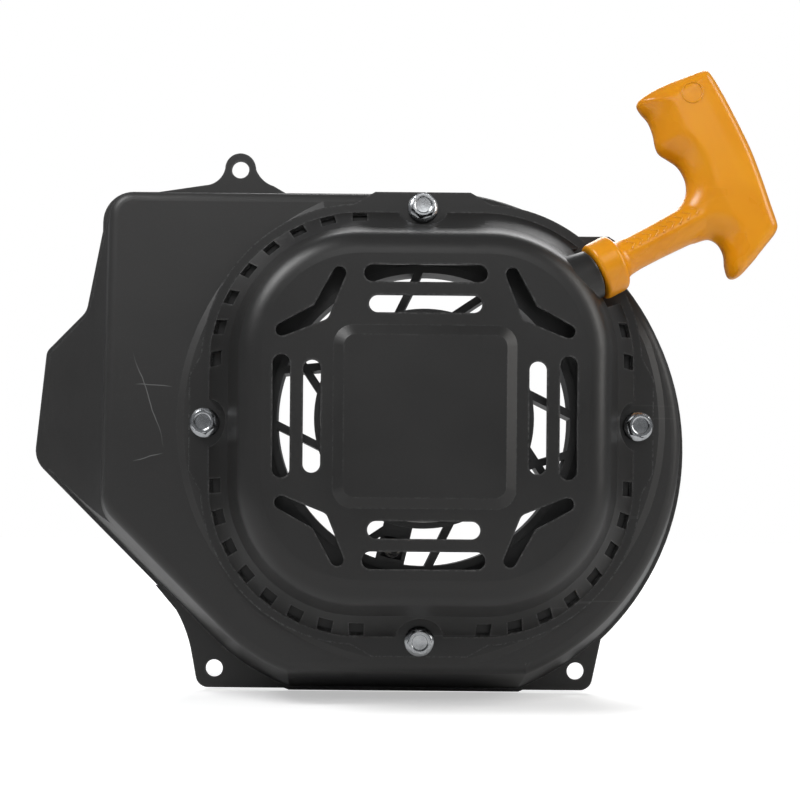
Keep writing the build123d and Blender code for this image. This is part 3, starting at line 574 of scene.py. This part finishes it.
def tube_ring(bm, centre, radius, tube):
    """Ring of round section lying flat round the centre, in local mm."""
    steps, sides = 48, 8
    rings = []
    for i in range(steps):
        a = 2 * math.pi * i / steps
        ring = []
        for k in range(sides):
            b = 2 * math.pi * k / sides
            r = radius + tube * math.cos(b)
            place = (centre[0] + r * math.cos(a), centre[1] + r * math.sin(a), tube * math.sin(b))
            ring.append(bm.verts.new(place))
        rings.append(ring)
    for i in range(steps):
        low, high = rings[i], rings[(i + 1) % steps]
        for k in range(sides):
            j = (k + 1) % sides
            bm.faces.new((low[k], low[j], high[j], high[k]))


def handle_marks_mesh(skin):
    """Plain raised chevrons on the stem and a ring on the arm, laid on the handle's skin."""
    bm = bmesh.new()
    for k in range(CHEVRONS):
        s = CHEVRON_START + CHEVRON_STEP * k
        tip = (s + 2.4, 3.2, 0)
        bar(bm, (s, 5.2, 0), tip, CHEVRON_W, CHEVRON_H)
        bar(bm, (s, 1.2, 0), tip, CHEVRON_W, CHEVRON_H)
    tube_ring(bm, RING_PLACE, RING_R, RING_TUBE)
    tree = BVHTree.FromPolygons([v.co for v in skin.vertices], [tuple(f.vertices) for f in skin.polygons])
    for vert in bm.verts:
        hit = tree.ray_cast(Vector((vert.co.x, vert.co.y, 40)), Vector((0, 0, -1)))[0]
        vert.co.z += hit.z
    return finish_bm(bm, "handle_marks")


def to_frame(mesh):
    """Moves a mesh from the handle's local mm to metres in the CAD frame."""
    for vert in mesh.vertices:
        vert.co = pull_point(*vert.co)
    return mesh


# ---- rope from the reel through the guide into the handle ----
COIL_R = 80.05  # mm, rope centre line on the reel's outer lap
LEAD_S = -10.0  # where the rope turns from the reel towards the guide
LEAD_BEND = 12.0
ROPE_END = 62.5
ROPE_SIDES = 24
ROPE_R, ROPE_LAY = 1.75, 0.05  # mm, mean radius and the height of its strands


def rope_line():
    """Centre points in the pull line's local mm: off the reel, round the bend and out to the handle."""
    reel = Vector((-OUTLET.x + AXIS.x, 0, -OUTLET.z + AXIS.z)) / MM
    centre = Vector((reel.dot(ALONG), reel.dot(ACROSS)))
    corner = Vector((LEAD_S, 0))
    to_corner = corner - centre
    swing = math.atan2(to_corner.y, to_corner.x) + math.acos(COIL_R / to_corner.length)
    start = centre + COIL_R * Vector((math.cos(swing), math.sin(swing)))
    arrive = (corner - start).normalized()
    leave = Vector((1, 0))
    half = arrive.angle(leave) / 2
    cut = LEAD_BEND * math.tan(half)
    first, last = corner - arrive * cut, corner + leave * cut
    points = [start.lerp(first, i / 24) for i in range(24)]
    for i in range(11):
        u = i / 10
        points.append(first * (1 - u) ** 2 + corner * (2 * u * (1 - u)) + last * u * u)
    s = last.x + 0.6
    while s < -3.6:
        points.append(Vector((s, 0)))
        s += 0.6
    points += [Vector((-3.5 + 0.075 * i, 0)) for i in range(120)]
    s = 5.5
    while s < ROPE_END:
        points.append(Vector((s, 0)))
        s += 2.0
    return points


def rope_mesh():
    """Braided tube along the rope's line, with close rings where it stretches out of the guide."""
    bm = bmesh.new()
    line = rope_line()
    rings = []
    for i, point in enumerate(line):
        run = (line[min(i + 1, len(line) - 1)] - line[max(i - 1, 0)]).normalized()
        side = Vector((-run.y, run.x))
        ring = []
        for k in range(ROPE_SIDES):
            a = 2 * math.pi * k / ROPE_SIDES
            r = ROPE_R + ROPE_LAY * math.cos(8 * a)
            where = point + side * (r * math.sin(a))
            ring.append(bm.verts.new(pull_point(where.x, where.y, r * math.cos(a))))
        rings.append(ring)
    for low, high in zip(rings, rings[1:]):
        for k in range(ROPE_SIDES):
            j = (k + 1) % ROPE_SIDES
            bm.faces.new((low[k], low[j], high[j], high[k]))
    bm.faces.new(rings[0][::-1])
    bm.faces.new(rings[-1])
    return finish_bm(bm, "rope_run")


# ---- build ----
# Three scores on the case's face, as scratch_mask takes them.
SCORES = [
    (-507, -116.5, 400, -136, -121), (-140, -181.5, 200, -135, -117), (-78.5, -209.6, 200, -136, -121)]
case_paint = paint("case_black", 0.017, 0.42, SCORES)
cover_paint = paint("cover_black", 0.012, 0.36)
zinc = metal("bright_zinc", 0.52, 0.20, (0.97, 1.0, 1.03))
steel = metal("plain_steel_scene", 0.50, 0.32, (1, 0.99, 0.96), (1, 1, 5), 0.5)
blued = metal("spring_steel_scene", 0.22, 0.28, (0.85, 0.95, 1.15), (1, 6, 1))
bronze = metal("bronze_scene", 0.45, 0.38, (1.15, 0.85, 0.45))
plate = metal("plate_steel_scene", 0.58, 0.30, (1, 0.98, 0.90), (4, 1, 1), 0.25)
hard = metal("pawl_steel_scene", 0.36, 0.36, (1, 0.93, 0.82), (1, 1, 3), 0.3)
guide = metal("guide_steel_scene", 0.16, 0.30, (1, 1, 1.02))
black_nylon = nylon("reel_nylon_scene", 0.020)
orange = handle_plastic()
rope_straight = braid("rope_braid", True)
rope_wound = braid("rope_wound_braid", False)

NODE_MATERIALS = {
    "fan_case": case_paint, "recoil_cover": cover_paint, "cover_bolts": zinc, "weld_nuts": steel,
    "reel_post": steel, "reel": black_nylon, "reel_bush": bronze, "spring_retainer": steel,
    "recoil_spring": blued, "rope_coil": rope_wound, "reel_knot": rope_wound, "starter_rope": rope_wound,
    "rope_guide": guide, "handle_grip": orange, "handle_washer": steel, "handle_knot": rope_wound,
    "pawl_a": hard, "pawl_b": hard, "pawl_pins": steel, "pawl_springs": blued, "guide_plate": plate,
    "friction_spring": blued, "plate_bush": steel, "thrust_washer": steel, "centre_bolt": zinc}
for node, material in NODE_MATERIALS.items():
    for slot in frame["nodes"][node].material_slots:
        slot.material = material

make_bolts(zinc)
skin = handle_skin()
marks = handle_marks_mesh(skin)
handle = link("handle_body", to_frame(skin), orange, "handle", 50)
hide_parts("handle_grip")
link("handle_marks", to_frame(marks), orange, "handle", 60)
rope = link("rope_run", rope_mesh(), rope_straight, None, 40)
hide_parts("starter_rope")
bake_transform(rope)


# ---- floor, light and camera ----
STAGE_GLOW = 0.45  # lifts the floor to white for the camera alone
GLOW_NEAR, GLOW_FAR = 0.4, 1.6  # metres; the glow grows to full between these
STAGE_SIZE = 8.0  # metres from the middle to the floor's edge
SOFT_LIGHT = 0.20  # strength of the light from all round


def stage_material():
    m = Mat("pale_floor")
    tone = m.noise(3, 3, 0.5)
    far = m.new("ShaderNodeVectorMath", operation="LENGTH")
    m.put(far.inputs[0], m.place)
    glow = m.ramp(far.outputs["Value"], GLOW_NEAR, GLOW_FAR, STAGE_GLOW, 1.0)
    m.set(Base_Color=m.mix(tone, grey(0.86), grey(0.90)), Roughness=0.7)
    m.set(Normal=m.bump(m.noise(120, 3), 0.0002, 0.2))
    seen = m.new("ShaderNodeLightPath").outputs["Is Camera Ray"]
    m.set(Emission_Color=(1, 1, 1, 1), Emission_Strength=m.math("MULTIPLY", seen, glow))
    return m.mat


def make_stage():
    """Plain pale floor, open on all sides so the part can be seen from anywhere."""
    low = CAD_BOX[0].z - 0.0005
    bm = bmesh.new()
    corners = [(-1, -1), (1, -1), (1, 1), (-1, 1)]
    bm.faces.new([bm.verts.new((x * STAGE_SIZE, y * STAGE_SIZE, low)) for x, y in corners])
    mesh = finish_bm(bm, "floor")
    obj = bpy.data.objects.new("floor", mesh)
    bpy.context.scene.collection.objects.link(obj)
    mesh.materials.append(stage_material())


def area(name, offset, size, power, colour=(1, 1, 1)):
    """Soft lamp at an offset from the axis, turned to the middle of the part."""
    place = AXIS + Vector(offset)
    target = AXIS + Vector((0, -0.05, 0))
    light = bpy.data.lights.new(name, "AREA")
    light.shape = "RECTANGLE"
    light.size, light.size_y = size
    light.energy = power
    light.color = colour
    obj = bpy.data.objects.new(name, light)
    bpy.context.scene.collection.objects.link(obj)
    obj.location = place
    obj.rotation_euler = (target - place).to_track_quat("-Z", "Y").to_euler()


def make_world():
    """Soft light from all round; the camera itself sees plain white."""
    world = bpy.data.worlds.new("studio")
    bpy.context.scene.world = world
    world.use_nodes = True
    tree = world.node_tree
    soft = tree.nodes["Background"]
    soft.inputs["Color"].default_value = (0.95, 0.97, 1.0, 1)
    soft.inputs["Strength"].default_value = SOFT_LIGHT
    white = tree.nodes.new("ShaderNodeBackground")
    white.inputs["Color"].default_value = (1, 1, 1, 1)
    seen = tree.nodes.new("ShaderNodeLightPath").outputs["Is Camera Ray"]
    mix = tree.nodes.new("ShaderNodeMixShader")
    tree.links.new(seen, mix.inputs[0])
    tree.links.new(soft.outputs[0], mix.inputs[1])
    tree.links.new(white.outputs[0], mix.inputs[2])
    tree.links.new(mix.outputs[0], tree.nodes["World Output"].inputs["Surface"])


def make_light():
    area("top_left", (-0.75, -0.55, 0.95), (0.5, 0.5), 10.5)
    area("top_right", (1.0, -0.45, 0.55), (0.35, 0.9), 6, (1, 0.98, 0.95))
    area("front", (0.1, -1.5, 0.9), (1.0, 0.6), 4.2)
    area("back", (0.3, 1.2, 1.1), (1.2, 0.8), 12)


CAMERA_OFFSET = (-0.0235, -0.544, -0.050)  # from the axis
CAMERA_LENS, CAMERA_SENSOR = 46.9, 36
CAMERA_SHIFT = (30 / 800, 131 / 800)
CAMERA_ROLL = -0.5  # degrees


def make_camera():
    """Stands where the photographer stood: square to the front, a little low and left of the axis."""
    cam = bpy.data.cameras.new("camera")
    cam.sensor_width = CAMERA_SENSOR
    cam.lens = CAMERA_LENS
    cam.shift_x, cam.shift_y = CAMERA_SHIFT
    obj = bpy.data.objects.new("camera", cam)
    bpy.context.scene.collection.objects.link(obj)
    obj.location = AXIS + Vector(CAMERA_OFFSET)
    obj.rotation_euler = (math.radians(90), math.radians(CAMERA_ROLL), 0)
    bpy.context.scene.camera = obj


make_stage()
make_world()
make_light()
make_camera()
bpy.context.scene.view_settings.view_transform = "Standard"
bpy.context.view_layer.update()
